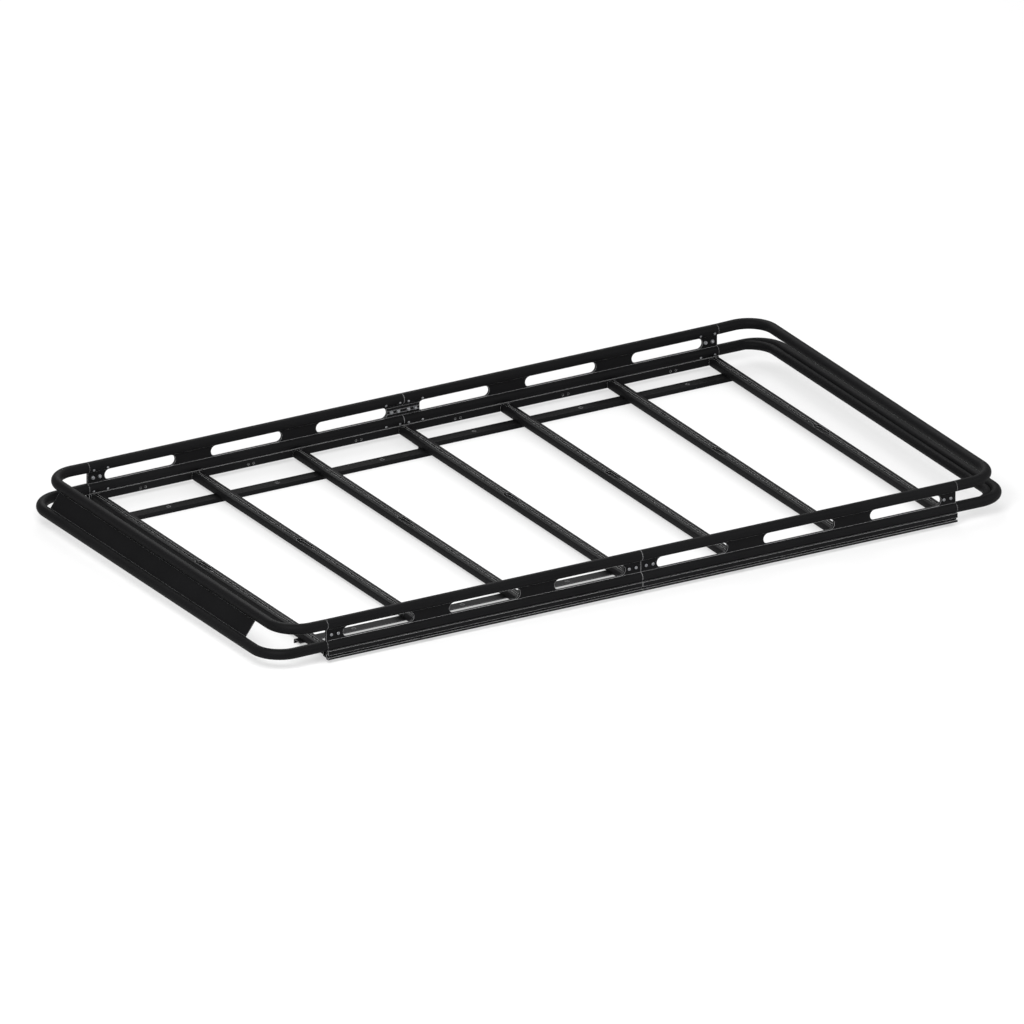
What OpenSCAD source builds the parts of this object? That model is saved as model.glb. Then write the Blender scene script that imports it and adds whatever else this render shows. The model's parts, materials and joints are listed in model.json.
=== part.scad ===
/* [Rack] */

// distance between the centre lines of the left and right rail tubes
rack_w = 1630; // [1200:5:2000]
// length of one rail section, two sections make one side
section_len = 1244.6; // [900:5:1600]

/* [Side rails] */

// outer diameter of the round tubes
tube_od = 38.1; // [30:0.1:50]
// wall of the round tubes
tube_wall = 3.2; // [2:0.1:6]
// height between the upper and lower tube centres
tube_gap = 78.2; // [65:0.1:120]
// thickness of the web between the tubes
web_t = 9; // [5:0.5:14]
// length of one slot
slot_len = 280.5; // [80:0.1:320]
// height of one slot
slot_h = 39; // [20:0.1:39.5]
// middles of the slots from the rail joint, in thousandths of a section's length
slot_at = [-833.4, -495.5, -161.7, 163.5, 502.5, 841.2];
// height of the outer face of the channel under the lower tube
box_h = 33; // [26:0.5:45]
// height of the inner face of that channel
box_in_h = 28.5; // [22:0.5:40]
// drop from the upper tube centre to the top of the channel
box_drop = 93; // [80:0.5:140]
// reach of the channel inboard of the tube centre line
box_in = 16.5; // [12:0.5:19]

/* [Channels] */

// width of the mouth of every accessory channel
mouth_w = 8.4; // [6:0.1:12]
// width of the chamber behind the mouth
chamber_w = 15; // [12:0.5:18]
// depth of the chamber in a crossbar
chamber_d = 5.5; // [4:0.5:8]
// thickness of the lips beside the mouth
lip_t = 3; // [2:0.1:5]
// depth of the chamber in a side rail
rail_chamber_d = 9; // [7:0.5:12]
// length of the wide gate at the middle of each crossbar
gate_len = 30; // [16:1:60]

/* [Crossbars] */

// widest size of a crossbar, front to back
bar_w = 41; // [34:0.5:60]
// height of a crossbar
bar_h = 25.4; // [20:0.1:40]
// radius of the rounded sides of a crossbar
bar_side_r = 45; // [30:1:200]
// drop from the upper tube centre to the top of the crossbars
bar_drop = 97.5; // [80:0.5:160]
// middles of the crossbars from the rail joint, in thousandths of a section's length
bar_at = [-978.6, -657.2, -336.7, 0, 323, 662.1, 985.1];
// distance of an end bolt from the middle of its crossbar
end_bolt_x = 13; // [10:0.5:16]

/* [Hoops] */

// centre line radius of the hoop bends
bend_r = 102; // [80:1:200]
// reach of the upper front hoop beyond the rails
front_upper_reach = 163.7; // [130:0.1:300]
// upward pitch of the upper front hoop in degrees
front_upper_pitch = 0.75; // [-6:0.05:6]
// reach of the lower front hoop beyond the rails
front_lower_reach = 223.3; // [130:0.1:340]
// upward pitch of the lower front hoop in degrees
front_lower_pitch = -0.55; // [-6:0.05:6]
// reach of the upper rear hoop beyond the rails
rear_upper_reach = 166; // [130:0.1:300]
// upward pitch of the upper rear hoop in degrees
rear_upper_pitch = 1.5; // [-6:0.05:6]
// reach of the outer tube of the lower rear hoop
rear_lower_reach = 206; // [130:0.1:340]
// upward pitch of the lower rear hoop in degrees
rear_lower_pitch = -0.2; // [-6:0.05:6]
// outer diameter of the inner tube of the lower rear hoop
rear_twin_od = 32; // [25:0.1:38]
// length of a spigot inside a rail tube
spigot_len = 88; // [78:1:140]
// length of a spigot inside its hoop
spigot_in = 35; // [20:1:45]
// wall of the spigots and couplers
spigot_wall = 3.8; // [2:0.1:6]
// gap between a spigot and the tube around it
spigot_gap = 0.05; // [0.02:0.01:0.5]
// thickness of the front fairing sheet
fairing_t = 3; // [2:0.5:6]
// left end of the fairing, measured from the middle of the rack
fairing_left = 636; // [300:1:700]
// right end of the fairing, measured from the middle of the rack
fairing_right = 698; // [300:1:700]

/* [Joints] */

// length of the splice plate at the rail joint
splice_len = 130; // [115:1:180]
// height of the splice plate
splice_h = 34; // [24:1:36]
// thickness of the splice plate
splice_t = 5; // [3:0.5:8]
// first web bolt from the end of a section
web_bolt_1 = 20; // [15:0.5:30]
// second web bolt from the end of a section
web_bolt_2 = 47; // [35:0.5:58]
// diameter of the web bolts
web_bolt_d = 8; // [6:1:10]
// first tube screw from the end of a section
tube_screw_1 = 17; // [10:0.5:30]
// second tube screw from the end of a section
tube_screw_2 = 72; // [50:0.5:76]
// diameter of the tube screws
tube_screw_d = 5; // [4:0.5:6]
// tilt of the tube screws below level in degrees
screw_tilt = 20; // [0:1:40]
// diameter of the crossbar end bolts
end_bolt_d = 6; // [5:0.5:8]
// diameter of the bolts from crossbar to foot rail
foot_bolt_d = 8; // [6:0.5:8]
// gap around a bolt shank in its hole
bolt_gap = 0.2; // [0.1:0.05:1]

/* [Foot rails] */

// width of the level leg of a foot rail
foot_w = 44.5; // [35:0.5:70]
// full height of a foot rail
foot_h = 16; // [13:0.5:40]
// sheet thickness of a foot rail
foot_t = 3.5; // [2.5:0.5:6]
// distance from the rail tube centre to the front foot rails
foot_in_front = 151; // [60:1:400]
// distance from the rail tube centre to the rear foot rails
foot_in_rear = 96.5; // [60:0.5:400]
// overhang of the outer end of a foot rail past the end crossbar middle
foot_over = 34; // [15:1:80]
// overhang of the inner end of a foot rail past the middle crossbar
foot_lap = 27; // [15:1:80]
// diameter of the holes for the roof bolts
roof_hole_d = 9; // [6:0.5:13]
// roof holes from the rail joint, in thousandths of a section's length
roof_hole_at = [189.6, 478.9, 768.1];

/* [Tie holes] */

// middles of the paired tie holes from the rail joint, in thousandths of a section's length
tie_at = [-829.2, -486.9, -144.6, 170.3, 512.6, 854.9];
// distance between the two holes of a pair
tie_pair = 20.5; // [15:0.5:40]
// diameter of a tie hole
tie_d = 7; // [4:0.5:10]

/* [Hidden] */

$fn = 64;
tube_r = tube_od / 2;
bore_r = tube_r - tube_wall;
spigot_r = bore_r - spigot_gap;
half_w = rack_w / 2;
z_up = foot_h + bar_h + bar_drop;
z_low = z_up - tube_gap;
z_web = z_up - tube_gap / 2;
box_top = z_up - box_drop;
box_bot = box_top - box_h;
z_mouth = box_bot + lip_t + chamber_w / 2 + 1.5;
bar_x = bar_at * section_len / 1000;
slot_x = slot_at * section_len / 1000;
tie_x = tie_at * section_len / 1000;
roof_hole_x = roof_hole_at * section_len / 1000;
front_ext = front_lower_reach * cos(front_lower_pitch) + tube_r;
rear_ext = rear_lower_reach * cos(rear_lower_pitch) + tube_r;
x_mid = (front_ext - rear_ext) / 2;
x_front = x_mid - section_len;
x_rear = x_mid + section_len;
bar_len = rack_w - 2 * box_in;
last = len(bar_x) - 1;
mid_bar = floor(last / 2);

module on_side(s) {
  if (s > 0) children();
  else mirror([0, 1, 0]) children();
}

module rail_outline() {
  translate([0, z_up]) circle(r = tube_r);
  translate([0, z_low]) circle(r = tube_r);
  translate([-web_t / 2, z_low]) square([web_t, tube_gap]);
  translate([-box_in, box_top - box_in_h]) square([box_in + tube_r, box_in_h]);
  translate([tube_r - rail_chamber_d - lip_t - 3, box_bot]) square([rail_chamber_d + lip_t + 3, box_h / 2]);
}

module rail_hollows() {
  translate([0, z_up]) circle(r = bore_r);
  translate([0, z_low]) circle(r = bore_r);
  translate([tube_r - lip_t - rail_chamber_d, z_mouth - chamber_w / 2]) square([rail_chamber_d, chamber_w]);
  translate([tube_r - lip_t - 1, z_mouth - mouth_w / 2]) square([lip_t + 3, mouth_w]);
  translate([3 - box_in, box_top - box_in_h + 3])
    square([box_in + tube_r - lip_t - rail_chamber_d - 6, box_in_h - 8]);
}

module slot_cut() {
  run = slot_len - slot_h;
  translate([0, half_w, z_web]) rotate([90, 0, 0]) linear_extrude(web_t + 4, center = true) {
    for (s = [-run / 2, run / 2]) translate([s, 0]) circle(r = slot_h / 2);
    square([run, slot_h], center = true);
  }
}

module tube_screw_cut(x, z) {
  translate([x, half_w, z]) rotate([90 + screw_tilt, 0, 0]) translate([0, 0, bore_r - spigot_wall - 2])
    cylinder(r = tube_screw_d / 2 + bolt_gap / 2, h = tube_wall + spigot_wall + 6);
}

module rail_section(x0) {
  difference() {
    translate([x0, half_w, 0]) rotate([90, 0, 90]) linear_extrude(section_len) difference() {
      rail_outline();
      rail_hollows();
    }
    for (s = slot_x) if (x_mid + s > x0 && x_mid + s < x0 + section_len) translate([x_mid + s, 0, 0]) slot_cut();
    for (d = [web_bolt_1, web_bolt_2, section_len - web_bolt_2, section_len - web_bolt_1])
      translate([x0 + d, half_w, z_web]) rotate([90, 0, 0])
        cylinder(r = web_bolt_d / 2 + bolt_gap, h = web_t + 4, center = true);
    for (d = [tube_screw_1, tube_screw_2, section_len - tube_screw_2, section_len - tube_screw_1], z = [z_up, z_low])
      tube_screw_cut(x0 + d, z);
    for (b = bar_x, e = [-end_bolt_x, end_bolt_x]) if (x_mid + b + e > x0 && x_mid + b + e < x0 + section_len)
      translate([x_mid + b + e, half_w - box_in - 1, z_mouth]) rotate([-90, 0, 0])
        cylinder(r = end_bolt_d / 2 + bolt_gap, h = box_in + tube_r - lip_t - rail_chamber_d + 2);
    for (t = tie_x, e = [-tie_pair / 2, tie_pair / 2]) if (x_mid + t + e > x0 && x_mid + t + e < x0 + section_len)
      translate([x_mid + t + e, half_w - box_in - 1, z_mouth + 3]) rotate([-90, 0, 0])
        cylinder(r = tie_d / 2, h = 5);
  }
}

module coupler(z) {
  translate([x_mid - spigot_len, half_w, z]) rotate([0, 90, 0]) difference() {
    cylinder(r = spigot_r, h = 2 * spigot_len);
    translate([0, 0, -1]) cylinder(r = spigot_r - spigot_wall, h = 2 * spigot_len + 2);
    for (d = [-tube_screw_2, -tube_screw_1, tube_screw_1, tube_screw_2])
      translate([0, 0, spigot_len + d]) rotate([90, 0, 0]) rotate([0, screw_tilt, 0])
        cylinder(r = tube_screw_d / 2, h = spigot_r + 2);
  }
}

module splice_plate() {
  difference() {
    translate([x_mid - splice_len / 2, half_w - web_t / 2 - splice_t, z_web - splice_h / 2])
      cube([splice_len, splice_t, splice_h]);
    for (g = [-splice_h / 6, splice_h / 6])
      translate([x_mid - splice_len, half_w - web_t / 2 - splice_t - 1, z_web + g - 0.75])
        cube([2 * splice_len, 2, 1.5]);
    for (d = [-web_bolt_2, -web_bolt_1, web_bolt_1, web_bolt_2])
      translate([x_mid + d, half_w - web_t / 2 + 1, z_web]) rotate([90, 0, 0])
        cylinder(r = web_bolt_d / 2 + bolt_gap, h = splice_t + 2);
  }
}

module hoop_sweep(reach, rad, lead) {
  for (s = [-1, 1]) {
    translate([-lead, s * half_w, 0]) rotate([0, 90, 0]) cylinder(r = rad, h = lead + reach - bend_r);
    translate([reach - bend_r, s * (half_w - bend_r), 0]) rotate([0, 0, s > 0 ? 0 : -90])
      rotate_extrude(angle = 90) translate([bend_r, 0]) circle(r = rad);
  }
  translate([reach, bend_r - half_w, 0]) rotate([-90, 0, 0]) cylinder(r = rad, h = rack_w - 2 * bend_r);
}

module hoop_spigots() {
  for (s = [-1, 1]) translate([0, s * half_w, 0]) rotate([0, 90, 0]) {
    translate([0, 0, -spigot_len]) cylinder(r = spigot_r, h = spigot_len + 2);
    cylinder(r = bore_r + 0.6, h = spigot_in);
  }
}

module hoop_holes() {
  for (s = [-1, 1]) {
    translate([-spigot_len - 1, s * half_w, 0]) rotate([0, 90, 0])
      cylinder(r = spigot_r - spigot_wall, h = spigot_len + spigot_in + 2);
    for (d = [tube_screw_1, tube_screw_2])
      translate([-d, s * half_w, 0]) rotate([s * (90 + screw_tilt), 0, 0])
        cylinder(r = tube_screw_d / 2, h = spigot_r + 2);
  }
}

module hoop(reach, pitch) {
  difference() {
    union() {
      difference() {
        rotate([0, -pitch, 0]) difference() {
          hoop_sweep(reach, tube_r, 2);
          hoop_sweep(reach, bore_r, 3);
        }
        translate([-60, -rack_w, -60]) cube([60, 2 * rack_w, 120]);
      }
      hoop_spigots();
    }
    hoop_holes();
  }
}

module twin_hoop(reach, pitch) {
  inner = reach - tube_r - rear_twin_od / 2 + 0.15;
  difference() {
    union() {
      difference() {
        rotate([0, -pitch, 0]) difference() {
          union() {
            hoop_sweep(reach, tube_r, 2);
            for (s = [-1, 1])
              translate([inner - bend_r, s * (half_w - bend_r), 0]) rotate([0, 0, s > 0 ? 0 : -90])
                rotate_extrude(angle = 90) translate([bend_r, 0]) circle(d = rear_twin_od);
            translate([inner, bend_r - half_w, 0]) rotate([-90, 0, 0])
              cylinder(d = rear_twin_od, h = rack_w - 2 * bend_r);
          }
          hoop_sweep(reach, bore_r, 3);
        }
        translate([-60, -rack_w, -60]) cube([60, 2 * rack_w, 120]);
      }
      hoop_spigots();
    }
    hoop_holes();
  }
}

module at_front(z) { translate([x_front, 0, z]) mirror([1, 0, 0]) children(); }
module at_rear(z) { translate([x_rear, 0, z]) children(); }

module front_hoop_upper() color("black") at_front(z_up) hoop(front_upper_reach, front_upper_pitch);
module front_hoop_lower() color("black") at_front(z_low) hoop(front_lower_reach, front_lower_pitch);
module rear_hoop_upper() color("black") at_rear(z_up) hoop(rear_upper_reach, rear_upper_pitch);
module rear_hoop_lower() color("black") at_rear(z_low) twin_hoop(rear_lower_reach, rear_lower_pitch);

module front_fairing() {
  high_x = front_upper_reach * cos(front_upper_pitch);
  high_z = front_upper_reach * sin(front_upper_pitch);
  low_x = front_lower_reach * cos(front_lower_pitch);
  low_z = front_lower_reach * sin(front_lower_pitch) - tube_gap;
  run = low_x - high_x;
  fall = low_z - high_z;
  span = sqrt(run * run + fall * fall);
  color("dimgray") at_front(z_up) difference() {
    translate([high_x, -fairing_left, high_z]) rotate([0, atan2(run, fall), 0])
      translate([-fairing_t / 2, 0, 0]) cube([fairing_t, fairing_left + fairing_right, span]);
    translate([high_x, -half_w, high_z]) rotate([-90, 0, 0]) cylinder(r = tube_r, h = rack_w);
    translate([low_x, -half_w, low_z]) rotate([-90, 0, 0]) cylinder(r = tube_r, h = rack_w);
  }
}

module bar_outline() {
  shift = bar_side_r - bar_w / 2;
  intersection() {
    translate([-bar_w, -bar_h / 2]) square([2 * bar_w, bar_h]);
    translate([shift, 0]) circle(r = bar_side_r);
    translate([-shift, 0]) circle(r = bar_side_r);
  }
}

module channel_cut() {
  translate([-mouth_w / 2, bar_h / 2 - lip_t - 1]) square([mouth_w, lip_t + 3]);
  translate([-chamber_w / 2, bar_h / 2 - lip_t - chamber_d]) square([chamber_w, chamber_d]);
}

module crossbar(n) {
  color("dimgray") translate([x_mid + bar_x[n], 0, foot_h + bar_h / 2]) difference() {
    rotate([90, 0, 0]) linear_extrude(bar_len, center = true) difference() {
      bar_outline();
      channel_cut();
      mirror([0, 1]) channel_cut();
      for (e = [-end_bolt_x, end_bolt_x]) translate([e, z_mouth - foot_h - bar_h / 2])
        circle(r = end_bolt_d / 2 + bolt_gap);
    }
    translate([-chamber_w / 2, -gate_len / 2, bar_h / 2 - lip_t - 0.5]) cube([chamber_w, gate_len, lip_t + 2]);
  }
}

module foot_rail(xa, xb, inset, bars, holes) {
  y_in = half_w - inset - foot_w;
  difference() {
    union() {
      translate([xa, y_in, foot_h - foot_t]) cube([xb - xa, foot_w, foot_t]);
      translate([xa, y_in, 0]) cube([xb - xa, foot_t, foot_h]);
    }
    for (b = bars) translate([x_mid + bar_x[b], y_in + foot_w / 2, foot_h - foot_t - 1])
      cylinder(r = foot_bolt_d / 2 + bolt_gap, h = foot_t + 2);
    for (x = holes) translate([x_mid + x, y_in + foot_w / 2, foot_h - foot_t - 1])
      cylinder(r = roof_hole_d / 2, h = foot_t + 2);
  }
}

module foot_rail_front() {
  color("black") foot_rail(x_mid + bar_x[0] - foot_over, x_mid + bar_x[mid_bar] + foot_lap, foot_in_front,
    [for (b = [0 : mid_bar]) b], -roof_hole_x);
}

module foot_rail_rear() {
  color("black") foot_rail(x_mid + bar_x[mid_bar] - foot_lap, x_mid + bar_x[last] + foot_over, foot_in_rear,
    [for (b = [mid_bar : last]) b], roof_hole_x);
}

module web_bolts() {
  color("silver") for (e = [0, 1, 2, 3], d = [web_bolt_1, web_bolt_2]) {
    x = e == 0 ? x_front + d : e == 1 ? x_mid - d : e == 2 ? x_mid + d : x_rear - d;
    grip = web_t + ((e == 1 || e == 2) ? splice_t : 0);
    translate([x, half_w + web_t / 2, z_web]) rotate([90, 0, 0]) {
      translate([0, 0, -4.5]) cylinder(r = 7, h = 4.5);
      cylinder(r = web_bolt_d / 2, h = grip + 8);
      translate([0, 0, grip]) cylinder(r = 6.5, h = 6);
    }
  }
}

module tube_screws() {
  color("silver") for (z = [z_up, z_low], e = [0, 1, 2, 3], d = [tube_screw_1, tube_screw_2]) {
    x = e == 0 ? x_front + d : e == 1 ? x_mid - d : e == 2 ? x_mid + d : x_rear - d;
    translate([x, half_w, z]) rotate([90 + screw_tilt, 0, 0]) {
      translate([0, 0, spigot_r - spigot_wall]) cylinder(r = tube_screw_d / 2, h = tube_r - spigot_r + spigot_wall + 1);
      translate([0, 0, tube_r]) cylinder(r = tube_screw_d * 0.9, h = 2.2);
    }
  }
}

module end_bolts() {
  y_head = half_w + tube_r - lip_t - rail_chamber_d;
  color("silver") for (b = bar_x, e = [-end_bolt_x, end_bolt_x])
    translate([x_mid + b + e, y_head, z_mouth]) rotate([90, 0, 0]) {
      translate([0, 0, -5]) cylinder(r = 5, h = 5);
      cylinder(r = end_bolt_d / 2, h = y_head - half_w + box_in + 22);
    }
}

module foot_bolt(b, inset) {
  translate([x_mid + bar_x[b], half_w - inset - foot_w / 2, foot_h]) {
    translate([0, 0, lip_t]) cylinder(r = 6.9, h = 4);
    translate([0, 0, -foot_t - 8]) cylinder(r = foot_bolt_d / 2, h = foot_t + lip_t + 8.5);
    translate([0, 0, -foot_t - 6.5]) cylinder(r = 6.5, h = 6.5);
  }
}

module foot_bolts() {
  color("silver") {
    for (b = [0 : mid_bar]) foot_bolt(b, foot_in_front);
    for (b = [mid_bar : last]) foot_bolt(b, foot_in_rear);
  }
}

module side_rail_left_front() color("black") on_side(-1) rail_section(x_front);
module side_rail_left_rear() color("black") on_side(-1) rail_section(x_mid);
module side_rail_right_front() color("black") on_side(1) rail_section(x_front);
module side_rail_right_rear() color("black") on_side(1) rail_section(x_mid);
module tube_coupler_left_upper() color("silver") on_side(-1) coupler(z_up);
module tube_coupler_left_lower() color("silver") on_side(-1) coupler(z_low);
module tube_coupler_right_upper() color("silver") on_side(1) coupler(z_up);
module tube_coupler_right_lower() color("silver") on_side(1) coupler(z_low);
module splice_plate_left() color("dimgray") on_side(-1) splice_plate();
module splice_plate_right() color("dimgray") on_side(1) splice_plate();
module crossbar_1() crossbar(0);
module crossbar_2() crossbar(1);
module crossbar_3() crossbar(2);
module crossbar_4() crossbar(3);
module crossbar_5() crossbar(4);
module crossbar_6() crossbar(5);
module crossbar_7() crossbar(6);
module foot_rail_left_front() on_side(-1) foot_rail_front();
module foot_rail_left_rear() on_side(-1) foot_rail_rear();
module foot_rail_right_front() on_side(1) foot_rail_front();
module foot_rail_right_rear() on_side(1) foot_rail_rear();
module web_bolts_left() on_side(-1) web_bolts();
module web_bolts_right() on_side(1) web_bolts();
module tube_screws_left() on_side(-1) tube_screws();
module tube_screws_right() on_side(1) tube_screws();
module end_bolts_left() on_side(-1) end_bolts();
module end_bolts_right() on_side(1) end_bolts();
module foot_bolts_left() on_side(-1) foot_bolts();
module foot_bolts_right() on_side(1) foot_bolts();

side_rail_left_front();
side_rail_left_rear();
side_rail_right_front();
side_rail_right_rear();
tube_coupler_left_upper();
tube_coupler_left_lower();
tube_coupler_right_upper();
tube_coupler_right_lower();
splice_plate_left();
splice_plate_right();
front_hoop_upper();
front_hoop_lower();
front_fairing();
rear_hoop_upper();
rear_hoop_lower();
crossbar_1();
crossbar_2();
crossbar_3();
crossbar_4();
crossbar_5();
crossbar_6();
crossbar_7();
foot_rail_left_front();
foot_rail_left_rear();
foot_rail_right_front();
foot_rail_right_rear();
web_bolts_left();
web_bolts_right();
tube_screws_left();
tube_screws_right();
end_bolts_left();
end_bolts_right();
foot_bolts_left();
foot_bolts_right();
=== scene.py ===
import bpy
import json
import math
import numpy as np
from mathutils import Matrix, Vector


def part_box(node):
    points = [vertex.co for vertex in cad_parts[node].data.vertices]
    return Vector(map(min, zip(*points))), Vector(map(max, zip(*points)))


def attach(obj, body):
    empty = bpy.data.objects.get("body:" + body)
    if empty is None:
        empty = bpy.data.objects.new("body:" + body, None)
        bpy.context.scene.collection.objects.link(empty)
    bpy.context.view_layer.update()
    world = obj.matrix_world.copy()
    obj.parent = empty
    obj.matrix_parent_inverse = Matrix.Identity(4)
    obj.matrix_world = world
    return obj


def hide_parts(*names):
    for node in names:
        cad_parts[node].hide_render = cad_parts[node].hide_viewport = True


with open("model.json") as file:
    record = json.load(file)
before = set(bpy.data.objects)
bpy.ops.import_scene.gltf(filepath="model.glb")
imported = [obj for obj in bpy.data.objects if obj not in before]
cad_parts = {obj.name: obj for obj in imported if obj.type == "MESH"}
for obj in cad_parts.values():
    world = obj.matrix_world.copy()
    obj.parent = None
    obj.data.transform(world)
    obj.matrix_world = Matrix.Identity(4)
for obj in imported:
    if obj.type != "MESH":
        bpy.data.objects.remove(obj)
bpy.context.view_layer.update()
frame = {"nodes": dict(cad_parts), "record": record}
nodes = frame["nodes"]
scene = bpy.context.scene
print("frame loaded:", len(nodes), "nodes")

# the view of the photograph: a parallel view from the front left, seen a little from above
viewSetup = {
    "azimuth": -30.05,      # degrees, 0 looks along +Y with +X to the right
    "elevation": 22.38,     # degrees above the floor
    "mmPerPixel": 3.423,
    "imageSize": 1024,
    "target": (0.0086, 0.0, 0.1389),      # rail joint, at the upper tube centres
    "targetPixel": (520.98, 476.9),       # where the target lands in the picture
    "distance": 9.0,
    "clipEnd": 100.0,
}


def makeCamera(setup):
    az, el = math.radians(setup["azimuth"]), math.radians(setup["elevation"])
    right = Vector((math.cos(az), math.sin(az), 0))
    look = Vector((-math.sin(az) * math.cos(el), math.cos(az) * math.cos(el), -math.sin(el)))
    up = right.cross(look)
    step = setup["mmPerPixel"] / 1000
    half = setup["imageSize"] / 2
    centre = Vector(setup["target"]) + right * (half - setup["targetPixel"][0]) * step
    centre += up * (setup["targetPixel"][1] - half) * step
    data = bpy.data.cameras.new("photoCamera")
    data.type = "ORTHO"
    data.ortho_scale = setup["imageSize"] * step
    data.clip_end = setup["clipEnd"]
    camera = bpy.data.objects.new("photoCamera", data)
    turn = Matrix((right, up, -look)).transposed().to_4x4()
    camera.matrix_world = Matrix.Translation(centre - look * setup["distance"]) @ turn
    bpy.context.collection.objects.link(camera)
    scene.camera = camera


makeCamera(viewSetup)
scene.view_settings.view_transform = "Standard"
print("camera placed")


def setOrLink(tree, socket, value):
    # a plain number or colour goes on the socket, anything else is another node's output
    if isinstance(value, (int, float, tuple)):
        socket.default_value = value
    else:
        tree.links.new(value, socket)


def addMath(tree, operation, first, second, clamp=False):
    node = tree.nodes.new("ShaderNodeMath")
    node.operation = operation
    node.use_clamp = clamp
    setOrLink(tree, node.inputs[0], first)
    setOrLink(tree, node.inputs[1], second)
    return node.outputs[0]


def startMaterial(name):
    mat = bpy.data.materials.new(name)
    mat.use_nodes = True
    return mat, mat.node_tree, mat.node_tree.nodes["Principled BSDF"]


studio = {
    "floorSize": 60.0,
    "floorColour": (0.9, 0.9, 0.9, 1),
    "floorRoughness": 0.9,
    "floorSpecular": 0.2,
    "floorGlow": 0.55,      # share of plain white that the camera sees, the rest keeps the shadow
    "worldColour": (1, 1, 1, 1),
    "worldStrength": 0.5,
    "lampAim": (0, 0, 0.1),
    "lamps": {              # place, size in metres, power in watts
        "keyLamp": ((-3.5, -3.0, 4.5), 3.0, 300.0),
        "fillLamp": ((4.0, -3.5, 3.0), 4.0, 120.0),
        "rimLamp": ((2.0, 5.0, 4.0), 4.0, 170.0),
    },
}


def addFloor(setup):
    half = setup["floorSize"] / 2
    mesh = bpy.data.meshes.new("studioFloor")
    corners = [(-half, -half, 0), (half, -half, 0), (half, half, 0), (-half, half, 0)]
    mesh.from_pydata(corners, [], [(0, 1, 2, 3)])
    floor = bpy.data.objects.new("studioFloor", mesh)
    bpy.context.collection.objects.link(floor)
    mat, tree, bsdf = startMaterial("paleFloor")
    bsdf.inputs["Base Color"].default_value = setup["floorColour"]
    bsdf.inputs["Roughness"].default_value = setup["floorRoughness"]
    bsdf.inputs["Specular IOR Level"].default_value = setup["floorSpecular"]
    glow = tree.nodes.new("ShaderNodeEmission")
    path = tree.nodes.new("ShaderNodeLightPath")
    seen = path.outputs["Is Camera Ray"]
    for ray in ("Is Glossy Ray", "Is Transmission Ray"):
        seen = addMath(tree, "ADD", seen, path.outputs[ray], True)
    mix = tree.nodes.new("ShaderNodeMixShader")
    tree.links.new(addMath(tree, "MULTIPLY", seen, setup["floorGlow"]), mix.inputs["Fac"])
    tree.links.new(bsdf.outputs["BSDF"], mix.inputs[1])
    tree.links.new(glow.outputs["Emission"], mix.inputs[2])
    tree.links.new(mix.outputs["Shader"], tree.nodes["Material Output"].inputs["Surface"])
    mesh.materials.append(mat)


def makeWorld(setup):
    world = bpy.data.worlds.new("studioWorld")
    world.use_nodes = True
    background = world.node_tree.nodes["Background"]
    background.inputs["Color"].default_value = setup["worldColour"]
    background.inputs["Strength"].default_value = setup["worldStrength"]
    scene.world = world


def addLamp(name, place, size, power, aim):
    data = bpy.data.lights.new(name, "AREA")
    data.shape = "SQUARE"
    data.size = size
    data.energy = power
    lamp = bpy.data.objects.new(name, data)
    bpy.context.collection.objects.link(lamp)
    turn = (Vector(aim) - Vector(place)).to_track_quat("-Z", "Y").to_matrix().to_4x4()
    lamp.matrix_world = Matrix.Translation(place) @ turn


addFloor(studio)
makeWorld(studio)
for lampName, (place, size, power) in studio["lamps"].items():
    addLamp(lampName, place, size, power, studio["lampAim"])
print("studio ready")


def newGroup(name, inputs, outputs):
    # inputs are (name, default number), outputs are (name, kind of socket)
    group = bpy.data.node_groups.new(name, "ShaderNodeTree")
    for label, value in inputs:
        socket = group.interface.new_socket(label, in_out="INPUT", socket_type="NodeSocketFloat")
        socket.default_value = value
    for label, kind in outputs:
        group.interface.new_socket(label, in_out="OUTPUT", socket_type="NodeSocket" + kind)
    return group, group.nodes.new("NodeGroupInput"), group.nodes.new("NodeGroupOutput")


def addNoise(tree, vector, scale, detail, rough):
    node = tree.nodes.new("ShaderNodeTexNoise")
    tree.links.new(vector, node.inputs["Vector"])
    setOrLink(tree, node.inputs["Scale"], scale)
    node.inputs["Detail"].default_value = detail
    node.inputs["Roughness"].default_value = rough
    return node.outputs["Fac"]


def addRange(tree, value, low, high, toLow=0.0, toHigh=1.0):
    node = tree.nodes.new("ShaderNodeMapRange")
    tree.links.new(value, node.inputs["Value"])
    for label, number in (("From Min", low), ("From Max", high), ("To Min", toLow), ("To Max", toHigh)):
        node.inputs[label].default_value = number
    return node.outputs["Result"]


def addBevelNormal(tree, radius, samples):
    node = tree.nodes.new("ShaderNodeBevel")
    node.samples = samples
    setOrLink(tree, node.inputs["Radius"], radius)
    return node.outputs["Normal"]


edgeShape = {
    "wideSamples": 6, "smallSamples": 4,
    "roundRadius": 0.0006,            # metres, how far the shading rounds every edge
    "bend": (0.025, 0.17),            # 1 - cosine of the turn, from no line to a full one
    "patches": (35.0, 3.0, 0.6),      # scale, detail and roughness of the noise that breaks the line
    "patchRange": (0.35, 0.65),
}


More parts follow.
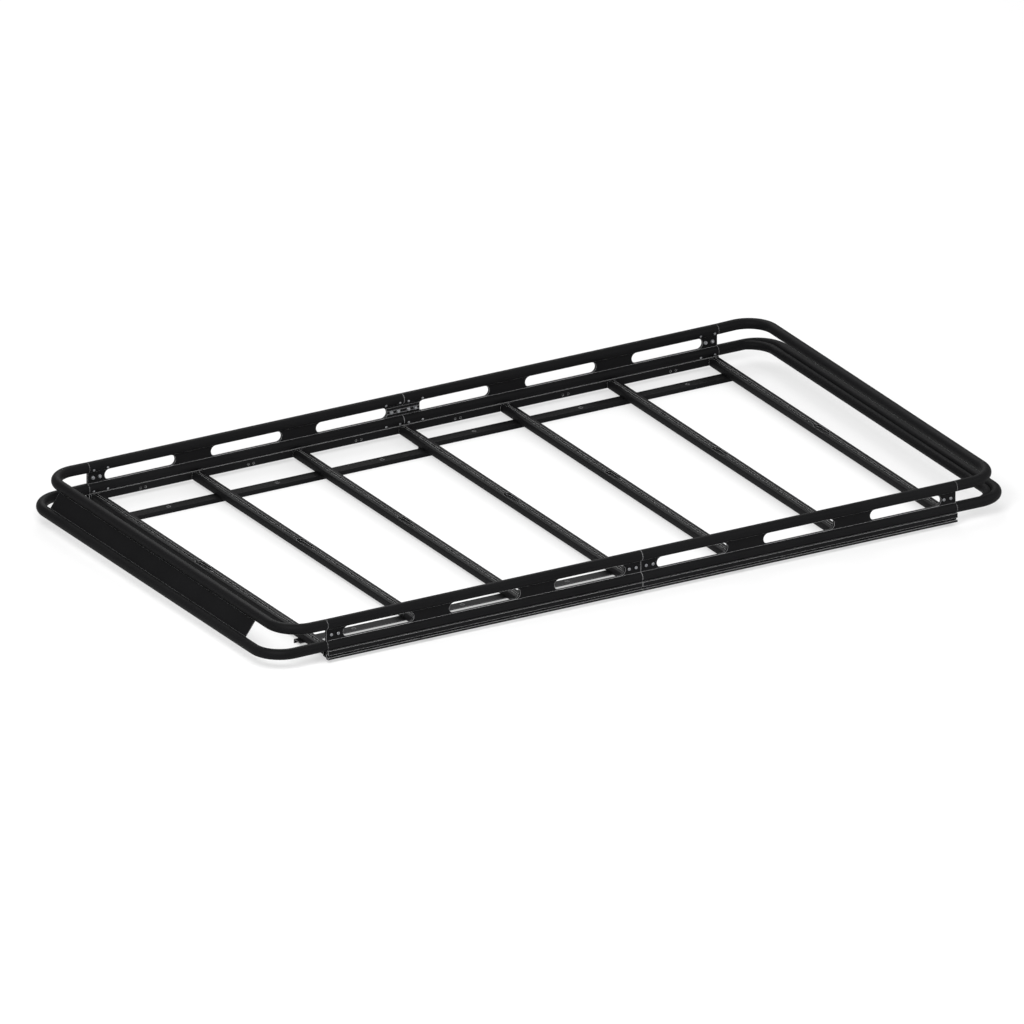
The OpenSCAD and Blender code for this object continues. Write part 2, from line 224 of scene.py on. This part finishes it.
def makePaintedEdgeHighlight(values):
    # painted highlight mask = how far the normal averaged within Width turns from the surface's own, so it
    # is 1 along sharp edges, convex and concave alike, less Breakup times patchy noise
    group, given, out = newGroup("paintedEdgeHighlight", [("Width", 0.0015), ("Breakup", 0.3)],
                                 [("Mask", "Float"), ("Round Normal", "Vector")])
    wide = addBevelNormal(group, given.outputs["Width"], values["wideSamples"])
    geometry = group.nodes.new("ShaderNodeNewGeometry")
    turn = group.nodes.new("ShaderNodeVectorMath")
    turn.operation = "DOT_PRODUCT"
    group.links.new(wide, turn.inputs[0])
    group.links.new(geometry.outputs["Normal"], turn.inputs[1])
    line = addRange(group, addMath(group, "SUBTRACT", 1.0, turn.outputs["Value"]), *values["bend"])
    place = group.nodes.new("ShaderNodeTexCoord")
    noise = addNoise(group, place.outputs["Object"], *values["patches"])
    patches = addRange(group, noise, *values["patchRange"])
    patchedOff = addMath(group, "MULTIPLY", patches, given.outputs["Breakup"])
    kept = addMath(group, "SUBTRACT", 1.0, patchedOff)
    group.links.new(addMath(group, "MULTIPLY", line, kept, True), out.inputs["Mask"])
    small = addBevelNormal(group, values["roundRadius"], values["smallSamples"])
    group.links.new(small, out.inputs["Round Normal"])
    return group


grainShape = {      # noises are scale, detail and roughness, and the peel's scale is a socket
    "peel": (2.0, 0.55), "peelShare": 0.7,
    "swell": (140.0, 1.0, 0.5), "swellShare": 0.3,
    "drift": (2.4, 3.0, 0.6), "toneRange": (0.3, 0.7), "driftShare": 0.6,
    "speck": (320.0, 1.0, 0.5), "glossRange": (0.35, 0.65), "speckShare": 0.4,
}


def addBlend(tree, first, firstShare, second, secondShare):
    return addMath(tree, "ADD", addMath(tree, "MULTIPLY", first, firstShare),
                   addMath(tree, "MULTIPLY", second, secondShare))


def makePowderGrain(values):
    # Height = fine orange peel plus a slower swell, Tone = slow drift over the surface,
    # Gloss = the same drift plus fine specks
    group, given, out = newGroup("powderGrain", [("Grain Scale", 900.0)],
                                 [("Height", "Float"), ("Tone", "Float"), ("Gloss", "Float")])
    place = group.nodes.new("ShaderNodeTexCoord").outputs["Object"]
    peel = addNoise(group, place, given.outputs["Grain Scale"], *values["peel"])
    swell = addNoise(group, place, *values["swell"])
    height = addBlend(group, peel, values["peelShare"], swell, values["swellShare"])
    group.links.new(height, out.inputs["Height"])
    drift = addNoise(group, place, *values["drift"])
    group.links.new(addRange(group, drift, *values["toneRange"]), out.inputs["Tone"])
    speck = addNoise(group, place, *values["speck"])
    gloss = addBlend(group, drift, values["driftShare"], speck, values["speckShare"])
    group.links.new(addRange(group, gloss, *values["glossRange"]), out.inputs["Gloss"])
    return group


dustShape = {
    "clouds": (7.0, 5.0, 0.65), "cloudRange": (0.42, 0.72),
    "upward": (0.55, 1.0),      # upright share of the normal, from no dust to all of it
}


def makeSettledDust(values):
    # mask = upward facing share of the normal times cloudy noise times Amount
    group, given, out = newGroup("settledDust", [("Amount", 0.2)], [("Mask", "Float")])
    geometry = group.nodes.new("ShaderNodeNewGeometry")
    parts = group.nodes.new("ShaderNodeSeparateXYZ")
    group.links.new(geometry.outputs["Normal"], parts.inputs[0])
    place = group.nodes.new("ShaderNodeTexCoord")
    clouds = addNoise(group, place.outputs["Object"], *values["clouds"])
    upward = addRange(group, parts.outputs["Z"], *values["upward"])
    settled = addMath(group, "MULTIPLY", upward, addRange(group, clouds, *values["cloudRange"]))
    group.links.new(addMath(group, "MULTIPLY", settled, given.outputs["Amount"], True), out.inputs["Mask"])
    return group


brushShape = {
    "stretch": (0.04, 1.0, 1.0),      # noise is drawn out along X
    "lines": (3.0, 0.6),              # detail and roughness, the scale is a socket
    "toneRange": (0.3, 0.7),
}


def makeMetalBrush(values):
    # fine scratches along X, as on drawn or rolled metal: noise read at a place squeezed along X
    group, given, out = newGroup("metalBrush", [("Line Scale", 600.0)],
                                 [("Height", "Float"), ("Tone", "Float")])
    place = group.nodes.new("ShaderNodeTexCoord")
    stretch = group.nodes.new("ShaderNodeMapping")
    stretch.inputs["Scale"].default_value = values["stretch"]
    group.links.new(place.outputs["Object"], stretch.inputs["Vector"])
    lines = addNoise(group, stretch.outputs["Vector"], given.outputs["Line Scale"], *values["lines"])
    group.links.new(lines, out.inputs["Height"])
    group.links.new(addRange(group, lines, *values["toneRange"]), out.inputs["Tone"])
    return group


paintedEdgeHighlight = makePaintedEdgeHighlight(edgeShape)
powderGrain = makePowderGrain(grainShape)
settledDust = makeSettledDust(dustShape)
metalBrush = makeMetalBrush(brushShape)
print("shader groups ready")


def useGroup(tree, group, **values):
    node = tree.nodes.new("ShaderNodeGroup")
    node.node_tree = group
    for label, value in values.items():
        node.inputs[label.replace("_", " ")].default_value = value
    return node


def addMix(tree, factor, first, second):
    node = tree.nodes.new("ShaderNodeMix")
    node.data_type = "RGBA"
    tree.links.new(factor, node.inputs["Factor"])
    for label, value in (("A", first), ("B", second)):
        socket = [s for s in node.inputs if s.name == label and s.type == "RGBA"][0]
        setOrLink(tree, socket, value)
    return [s for s in node.outputs if s.type == "RGBA"][0]


def addSurface(tree, bsdf, look, gloss, height, edges):
    # roughness runs from roughLow to roughHigh with the gloss mask, and the height becomes a bump
    # over the rounded edges
    rough = addRange(tree, gloss, 0.0, 1.0, look["roughLow"], look["roughHigh"])
    tree.links.new(rough, bsdf.inputs["Roughness"])
    bump = tree.nodes.new("ShaderNodeBump")
    bump.inputs["Distance"].default_value = look["bumpHeight"]
    bump.inputs["Strength"].default_value = look["bumpStrength"]
    tree.links.new(height, bump.inputs["Height"])
    tree.links.new(edges.outputs["Round Normal"], bump.inputs["Normal"])
    tree.links.new(bump.outputs["Normal"], bsdf.inputs["Normal"])


def powderCoat(name, look):
    mat, tree, bsdf = startMaterial(name)
    bsdf.inputs["Specular IOR Level"].default_value = look["specular"]
    grain = useGroup(tree, powderGrain, Grain_Scale=look["grainScale"])
    edges = useGroup(tree, paintedEdgeHighlight, Width=look["edgeWidth"], Breakup=look["edgeBreakup"])
    dust = useGroup(tree, settledDust, Amount=look["dust"])
    body = addMix(tree, grain.outputs["Tone"], look["deep"], look["light"])
    # the edge colour over the edge mask is a painted highlight along every sharp edge
    lined = addMix(tree, edges.outputs["Mask"], body, look["edge"])
    dusty = addMix(tree, dust.outputs["Mask"], lined, look["dustColour"])
    tree.links.new(dusty, bsdf.inputs["Base Color"])
    addSurface(tree, bsdf, look, grain.outputs["Gloss"], grain.outputs["Height"], edges)
    return mat


def bareMetal(name, look):
    mat, tree, bsdf = startMaterial(name)
    bsdf.inputs["Metallic"].default_value = 1.0
    brush = useGroup(tree, metalBrush, Line_Scale=look["lineScale"])
    edges = useGroup(tree, paintedEdgeHighlight, Width=look["edgeWidth"], Breakup=look["edgeBreakup"])
    body = addMix(tree, brush.outputs["Tone"], look["deep"], look["light"])
    # the edge colour over the edge mask is a painted highlight along every sharp edge
    lined = addMix(tree, edges.outputs["Mask"], body, look["edge"])
    tree.links.new(lined, bsdf.inputs["Base Color"])
    addSurface(tree, bsdf, look, brush.outputs["Tone"], brush.outputs["Height"], edges)
    return mat


# edge is the colour of a painted highlight along sharp edges: brightest on the crossbar grooves and the
# rails, faint on the hoops
coatLook = {
    "deep": (0.0052, 0.0052, 0.0056, 1), "light": (0.0082, 0.0082, 0.0087, 1),
    "edge": (0.2, 0.2, 0.205, 1), "edgeWidth": 0.0022, "edgeBreakup": 0.2,
    "dustColour": (0.02, 0.0195, 0.0185, 1), "dust": 0.1,
    "specular": 0.045, "roughLow": 0.5, "roughHigh": 0.62,
    "grainScale": 900.0, "bumpHeight": 0.00008, "bumpStrength": 0.6,
}
hoopLook = dict(coatLook, edge=(0.02, 0.02, 0.021, 1))
channelLook = dict(coatLook, edge=(0.5, 0.5, 0.505, 1), edgeWidth=0.0024, edgeBreakup=0.08, dust=0.06)
railLook = dict(coatLook, edge=(0.36, 0.36, 0.365, 1), edgeWidth=0.0028, edgeBreakup=0.12)
sheetLook = dict(coatLook, roughLow=0.56, roughHigh=0.66, specular=0.035, dust=0.04)
footLook = dict(coatLook, edge=(0.3, 0.3, 0.305, 1), edgeWidth=0.0026)
# edge here is a painted highlight along the metal's sharp edges
steelLook = {
    "deep": (0.26, 0.265, 0.275, 1), "light": (0.38, 0.385, 0.4, 1),
    "edge": (0.55, 0.56, 0.58, 1), "edgeWidth": 0.0006, "edgeBreakup": 0.2,
    "roughLow": 0.32, "roughHigh": 0.46,
    "lineScale": 900.0, "bumpHeight": 0.00004, "bumpStrength": 0.5,
}
millLook = dict(steelLook, deep=(0.58, 0.59, 0.61, 1), light=(0.7, 0.71, 0.73, 1),
                roughLow=0.36, roughHigh=0.5)
darkLook = dict(steelLook, deep=(0.018, 0.018, 0.019, 1), light=(0.03, 0.03, 0.032, 1),
                edge=(0.12, 0.12, 0.125, 1))

finishes = {
    "side_rails": powderCoat("railCoat", railLook),
    "hoops": powderCoat("hoopCoat", hoopLook),
    "fairing": powderCoat("fairingCoat", sheetLook),
    "crossbars": powderCoat("crossbarCoat", channelLook),
    "foot_rails": powderCoat("footRailCoat", footLook),
    "splice_plates": powderCoat("spliceCoat", footLook),
    "couplers": bareMetal("millTube", millLook),
    "fasteners": bareMetal("stainlessSteel", steelLook),
}
darkSteel = bareMetal("darkSteel", darkLook)
darkNodes = ("end_bolts", "foot_bolts")      # bolts in the channels and foot rails aren't stainless
slotOf = {part["node"]: part["material_slot"] for part in frame["record"]["subparts"]}
for name, obj in nodes.items():
    obj.data.materials.clear()
    obj.data.materials.append(darkSteel if name.startswith(darkNodes) else finishes[slotOf[name]])
print("finishes on", len(nodes), "nodes")


def gridFaces(rows, columns):
    # quads between neighbouring rows and columns, the last column joined to the first
    r, c = np.meshgrid(np.arange(rows - 1), np.arange(columns), indexing="ij")
    nextC = (c + 1) % columns
    corners = [r * columns + c, r * columns + nextC, (r + 1) * columns + nextC, (r + 1) * columns + c]
    return np.stack(corners, -1).reshape(-1, 4)


def closedFaces(rows, columns):
    # the quads of the grid, then the first row as one face, backwards, and the last row as another
    first = np.arange(columns)
    return [gridFaces(rows, columns), np.stack([first[::-1], (rows - 1) * columns + first])]


def buildPiece(name, shape, slotName, smoothAngle=35.0):
    points, faceSets = shape
    mesh = bpy.data.meshes.new(name)
    mesh.from_pydata(points.tolist(), [], [face for faces in faceSets for face in faces.tolist()])
    mesh.update()
    mesh.polygons.foreach_set("use_smooth", np.ones(len(mesh.polygons), dtype=bool))
    piece = bpy.data.objects.new(name, mesh)
    bpy.context.collection.objects.link(piece)
    mesh.set_sharp_from_angle(angle=math.radians(smoothAngle))
    mesh.materials.append(finishes[slotName])
    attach(piece, "root")
    return piece


def turnedShape(profile, segments):
    # profile rows are (radius, height, sixSided), carried round the axis: a point's distance from it is
    # the radius on round rows, and radius / cos(angle folded into +-30 degrees) on six-sided ones
    angle = np.linspace(0, 2 * np.pi, segments, endpoint=False)
    folded = np.mod(angle + np.pi / 6, np.pi / 3) - np.pi / 6
    rows = np.array(profile, dtype=float)
    radius = rows[:, 0:1] * np.where(rows[:, 2:3] > 0, 1 / np.cos(folded), 1.0)
    heights = np.repeat(rows[:, 1:2], segments, 1)
    points = np.stack([radius * np.cos(angle), radius * np.sin(angle), heights], -1)
    return points.reshape(-1, 3), closedFaces(len(rows), segments)


def placeMany(shape, places, axes):
    # copies of one shape: the first axis of each lies along the rack, its third along its own direction
    points, faceSets = shape
    z = np.array(axes, dtype=float)
    x = np.tile([1.0, 0.0, 0.0], (len(z), 1))
    y = np.cross(z, x)
    alongX, alongY, alongZ = points[None, :, 0:1], points[None, :, 1:2], points[None, :, 2:3]
    moved = alongX * x[:, None] + alongY * y[:, None] + alongZ * z[:, None] + np.array(places)[:, None]
    shift = (np.arange(len(z)) * len(points))[:, None, None]
    return moved.reshape(-1, 3), [(faces[None] + shift).reshape(-1, faces.shape[1]) for faces in faceSets]


def joinShapes(shapes):
    starts = np.cumsum([0] + [len(points) for points, faceSets in shapes[:-1]])
    joined = [faces + start for (points, faceSets), start in zip(shapes, starts) for faces in faceSets]
    return np.concatenate([points for points, faceSets in shapes]), joined


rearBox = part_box("side_rail_right_rear")
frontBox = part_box("side_rail_right_front")
rackJoint = frontBox[1][0]
railStart, railEnd = frontBox[0][0], rearBox[1][0]
sides = (("left", -1), ("right", 1))

railTubes = {
    "middle": 0.815,                # from the middle of the rack to the rail's centre
    "radius": 0.01905,
    "upper": 0.1389, "lower": 0.0607,      # heights of the two tube centres
}


def railStations(along):
    # both distances in from each end of the two rail sections, front to rear
    a, b = along
    front = [railStart + a, railStart + b, rackJoint - b, rackJoint - a]
    return front + [rackJoint + a, rackJoint + b, railEnd - b, railEnd - a]


headShape = {
    "seat": 0.97, "edge": 0.08,               # radius at the seat, and height of the widest place
    "domeStart": 0.35, "domeFlat": 0.62,      # height where the dome starts, and radius where it ends
    "top": 0.6, "lead": 1.22,                 # radius of the flat top, and of the way into the socket
    "leadDepth": 0.0002, "steps": 9,          # metres, and places on the dome
}


def buttonHead(values):
    # from the seat up over the dome, cosine in radius and sine in height, to the hexagon socket's floor
    s, r, h = headShape, values["headRadius"], values["headHeight"]
    socket, depth = values["socketRadius"], values["socketDepth"]
    dome = [(r * (s["domeFlat"] + (1 - s["domeFlat"]) * math.cos(a)),
             h * (s["domeStart"] + (1 - s["domeStart"]) * math.sin(a)), 0)
            for a in np.linspace(0, np.pi / 2, s["steps"])[:-1]]
    rows = [(r * s["seat"], 0, 0), (r, h * s["edge"], 0)] + dome + [(r * s["top"], h, 0)]
    return rows + [(socket * s["lead"], h, 0), (socket, h - s["leadDepth"], 1), (socket, h - depth, 1)]


nutShape = {
    "washer": 0.0008, "step": 0.0004, "chamfer": 0.0008,      # metres up or down the nut
    "flats": 0.86, "top": 0.8,                # shares of the washer's radius
    "mouth": 1.04, "mouthDepth": 0.0004,      # share of the bolt's radius, and metres
    "tip": 0.84, "tipChamfer": 0.0006,
}


def hexNut(values):
    # from the washer up over the six flats, down into the mouth, and out over the end of the bolt
    s, r, h = nutShape, values["nutRadius"], values["nutHeight"]
    bolt, end = values["shankRadius"], values["nutHeight"] + values["tail"]
    flats = r * s["flats"]
    rows = [(r, 0, 0), (r, s["washer"], 0), (flats, s["washer"] + s["step"], 1)]
    rows += [(flats, h - s["chamfer"], 1), (r * s["top"], h, 0)]
    rows += [(bolt * s["mouth"], h, 0), (bolt, h - s["mouthDepth"], 0)]
    return rows + [(bolt, end - s["tipChamfer"], 0), (bolt * s["tip"], end, 0)]


webBolt = {
    "along": (0.020, 0.047),       # from the end of a section
    "webHalf": 0.0045, "spliceThickness": 0.005, "segments": 36,
    "headRadius": 0.0058, "headHeight": 0.0042, "socketRadius": 0.0024, "socketDepth": 0.0026,
    "nutRadius": 0.0065, "nutHeight": 0.006, "shankRadius": 0.004, "tail": 0.002,
}


def makeWebBolts(values, side):
    # heads on the web's outer face and nuts on its inner one, or on the splice plate, half way up the rail
    stations = railStations(values["along"])
    atSplice = [False, False, True, True, True, True, False, False]
    height = (railTubes["upper"] + railTubes["lower"]) / 2
    faceOut, faceIn = railTubes["middle"] + values["webHalf"], railTubes["middle"] - values["webHalf"]
    outer = [(x, side * faceOut, height) for x in stations]
    inner = [(x, side * (faceIn - values["spliceThickness"] * plate), height)
             for x, plate in zip(stations, atSplice)]
    head = turnedShape(buttonHead(values), values["segments"])
    nut = turnedShape(hexNut(values), values["segments"])
    heads = placeMany(head, outer, [(0, side, 0)] * len(outer))
    return joinShapes([heads, placeMany(nut, inner, [(0, -side, 0)] * len(inner))])


for label, side in sides:
    bolts = buildPiece(label + "WebBolts", makeWebBolts(webBolt, side), "fasteners")
    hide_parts("web_bolts_" + label)
print("web bolts made")

tubeScrew = {
    "along": (0.017, 0.072), "tilt": 20.0,      # degrees below level, on the inner face of each tube
    "headRadius": 0.0045, "headHeight": 0.0022, "socketRadius": 0.0014, "socketDepth": 0.0014,
    "segments": 30,
}


def makeTubeScrews(values, side):
    # heads on the tubes, at centre + axis * radius, with the axis tilted down from the inward direction
    tilt = math.radians(values["tilt"])
    axis = np.array([0, -side * math.cos(tilt), -math.sin(tilt)])
    places = [np.array([x, side * railTubes["middle"], railTubes[level]]) + axis * railTubes["radius"]
              for level in ("upper", "lower") for x in railStations(values["along"])]
    return placeMany(turnedShape(buttonHead(values), values["segments"]), places, [axis] * len(places))


for label, side in sides:
    screws = buildPiece(label + "TubeScrews", makeTubeScrews(tubeScrew, side), "fasteners")
    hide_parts("tube_screws_" + label)
print("tube screws made")

crossbarShape = {
    "height": 0.0254, "halfWidth": 0.021, "cornerRadius": 0.0035,
    "sideRadius": 0.045,                      # the sides swell a little
    "mouthHalf": 0.005, "lip": 0.003, "mouthBevel": 0.0004,
    "chamberHalf": 0.0075, "chamberDepth": 0.0055,
    "bottomMouthHalf": 0.0042,
    "gateStart": 0.0235, "gateEnd": 0.1085, "gateHalf": 0.0127,      # where a bolt head drops in
    "gateMargin": 0.0003,                     # how far the chamber stays wider than the mouth
    "gateTurn": 0.3, "gateSteps": 10,         # radians into the gate's round end, and places on it
    "cornerTurn": 0.12, "cornerSteps": 7, "sideSteps": 9,
    "plainStep": 0.2, "pastGate": 0.3,        # places of plain sections between the ends and the gate
}


def makeCrossbar(values, centre, halfLength):
    # section points go round the bar, and the top groove's half width is a function of the place along it:
    # the larger of the mouth and sqrt(r^2 - (r - d)^2), d = way in from the gate's nearer end, up to r
    r, start, end, step = values["gateHalf"], values["gateStart"], values["gateEnd"], values["plainStep"]
    turn = np.linspace(values["gateTurn"], np.pi / 2, values["gateSteps"])
    along = np.concatenate([
        [-halfLength, -halfLength + step, -step, start], start + r * (1 - np.cos(turn)),
        end - r * (1 - np.cos(turn[::-1])), [end, values["pastGate"], halfLength - step, halfLength],
    ])
    inside = np.clip(np.minimum(along - start, end - along), 0, r)
    mouth = np.maximum(values["mouthHalf"], np.sqrt(np.maximum(r * r - (r - inside) ** 2, 0)))
    chamber = np.maximum(values["chamberHalf"], mouth + values["gateMargin"])
    h, bevel, corner = values["height"] / 2, values["mouthBevel"], values["cornerRadius"]
    lipEdge = h - values["lip"]
    floorEdge = lipEdge - values["chamberDepth"]
    sideZ = np.linspace(h - corner, corner - h, values["sideSteps"])
    sideX = values["halfWidth"] - values["sideRadius"] + np.sqrt(values["sideRadius"] ** 2 - sideZ ** 2)
    bend = np.linspace(np.pi / 2, values["cornerTurn"], values["cornerSteps"])[:-1]
    cornerX, cornerZ = sideX[0] - corner + corner * np.cos(bend), h - corner + corner * np.sin(bend)
    low, lowChamber = values["bottomMouthHalf"], values["chamberHalf"]
    half = [(chamber, floorEdge), (chamber, lipEdge), (mouth, lipEdge), (mouth, h - bevel)]
    half += [(mouth + bevel, h)] + list(zip(cornerX, cornerZ)) + list(zip(sideX, sideZ))
    half += list(zip(cornerX[::-1], -cornerZ[::-1])) + [(low + bevel, -h), (low, bevel - h)]
    half += [(low, -lipEdge), (lowChamber, -lipEdge), (lowChamber, -floorEdge)]
    ring = half + [(-x, z) for x, z in half[::-1]]
    one = np.ones_like(along)
    x = np.stack([centre[0] + across * one for across, up in ring], 1)
    y = np.repeat((centre[1] + along)[:, None], len(ring), 1)
    z = np.stack([centre[2] + up * one for across, up in ring], 1)
    return np.stack([x, y, z], -1).reshape(-1, 3), closedFaces(*x.shape)


barNames = sorted(name for name in nodes if name.startswith("crossbar_"))
for n, barName in enumerate(barNames, 1):
    low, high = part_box(barName)
    middle = [(low[k] + high[k]) / 2 for k in range(3)]
    shape = makeCrossbar(crossbarShape, middle, (high[1] - low[1]) / 2)
    bar = buildPiece("slottedBar%d" % n, shape, "crossbars", 25.0)
    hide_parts(barName)
print("crossbars made")

footRail = {
    # how much nearer the middle than the plain part, and how much shorter, as the photograph shows them
    "inward": {"front": 0.009, "rear": 0.0},
    "startIn": {"front": 0.0, "rear": 0.012}, "endIn": {"front": 0.0, "rear": 0.022},
    "thickness": 0.0035, "cornerRadius": 0.003, "cornerSteps": 6, "bevel": 0.0006, "sections": 25,
    # places of the roof bolt holes from the rail joint
    "holesAlong": {"front": (-1.027, -0.598, -0.183), "rear": (0.217, 0.639, 1.061)},
    "holeRadius": 0.0045, "holeFloor": 0.0002,
    "ringRadius": 0.0075, "ringHeight": 0.0012, "ringBevel": 0.0006, "ringSegments": 28,
    "ringSunk": 0.001, "ringEdge": 0.6,      # metres into the flange, and share of the height
}


def makeFootRail(values, low, high, side, end):
    # an angle bar: its section has an inner leg down to the roof and a flange outwards, swept straight
    # along the rack
    t, r, e = values["thickness"], values["cornerRadius"], values["bevel"]
    w, h = high[1] - low[1], high[2] - low[2]
    corner = [(r + r * math.cos(a), h - r + r * math.sin(a))
              for a in np.linspace(np.pi, np.pi / 2, values["cornerSteps"])]
    flange = [(w - e, h), (w, h - e), (w, h - t + e), (w - e, h - t), (t, h - t)]
    section = np.array([(0, e)] + corner + flange + [(t, e), (t - e, 0), (e, 0)])
    inner = min(abs(low[1]), abs(high[1])) - values["inward"][end]
    along = np.linspace(low[0] + values["startIn"][end], high[0] - values["endIn"][end], values["sections"])
    x = np.repeat(along[:, None], len(section), 1)
    y = np.tile(side * (inner + section[:, 0]), (len(along), 1))
    z = np.tile(low[2] + section[:, 1], (len(along), 1))
    faceSets = closedFaces(*x.shape)
    if side > 0:      # the mirrored section runs the other way round
        faceSets = [faces[:, ::-1] for faces in faceSets]
    return np.stack([x, y, z], -1).reshape(-1, 3), faceSets


def makeHoleRings(values, low, high, side, end):
    # flat rings along the middle of the flange, each turned from its sunk foot over the top to the
    # hole's floor
    r, ring, h = values["holeRadius"], values["ringRadius"], values["ringHeight"]
    bevel, edge = values["ringBevel"], h * values["ringEdge"]
    profile = [(ring, -values["ringSunk"], 0), (ring, edge, 0), (ring - bevel, h, 0), (r + bevel, h, 0)]
    profile += [(r, edge, 0), (r, values["holeFloor"], 0)]
    inner = min(abs(low[1]), abs(high[1])) - values["inward"][end]
    middle = inner + (high[1] - low[1]) / 2
    places = [(rackJoint + x, side * middle, high[2]) for x in values["holesAlong"][end]]
    return placeMany(turnedShape(profile, values["ringSegments"]), places, [(0, 0, 1)] * len(places))


for end in ("front", "rear"):
    for label, side in sides:
        name = "foot_rail_%s_%s" % (label, end)
        low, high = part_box(name)
        angleBar = makeFootRail(footRail, low, high, side, end)
        rings = makeHoleRings(footRail, low, high, side, end)
        shape = joinShapes([angleBar, rings])
        piece = buildPiece(label + end.title() + "FootRail", shape, "foot_rails", 30.0)
        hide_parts(name)
print("foot rails made")

rearHoop = {
    "reach": 0.166, "bendRadius": 0.102,
    "pitch": 1.15,                         # degrees up to the rear
    "gap": 0.0003,                         # between the rail's end and the hoop's
    "bendSteps": 24, "roundSteps": 44,
}


def makeHoop(values, startX):
    # circle of the tube's radius carried along a leg, a quarter bend, the cross run, a bend and a leg,
    # turned at each place by the path's own direction and laid on a plane pitched about the rail ends
    reach, bend, half, r = values["reach"], values["bendRadius"], railTubes["middle"], railTubes["radius"]
    turn = np.linspace(0, np.pi / 2, values["bendSteps"])
    u = np.concatenate([[values["gap"]], reach - bend + bend * np.sin(turn)])
    v = np.concatenate([[-half], -half + bend - bend * np.cos(turn)])
    heading = np.concatenate([[0.0], turn])
    u, v = np.concatenate([u, u[::-1]])[:, None], np.concatenate([v, -v[::-1]])[:, None]
    heading = np.concatenate([heading, np.pi - heading[::-1]])[:, None]
    around = np.linspace(0, 2 * np.pi, values["roundSteps"], endpoint=False)[None, :]
    across = r * np.cos(around)
    u, v, w = u - across * np.sin(heading), v + across * np.cos(heading), r * np.sin(around) + 0 * heading
    pitch = math.radians(values["pitch"])
    x = startX + u * math.cos(pitch) - w * math.sin(pitch)
    z = railTubes["upper"] + u * math.sin(pitch) + w * math.cos(pitch)
    return np.stack([x, v, z], -1).reshape(-1, 3), closedFaces(*x.shape)


topHoop = buildPiece("rearTopHoop", makeHoop(rearHoop, railEnd), "hoops", 30.0)
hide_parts("rear_hoop_upper")
print("rear top hoop made")
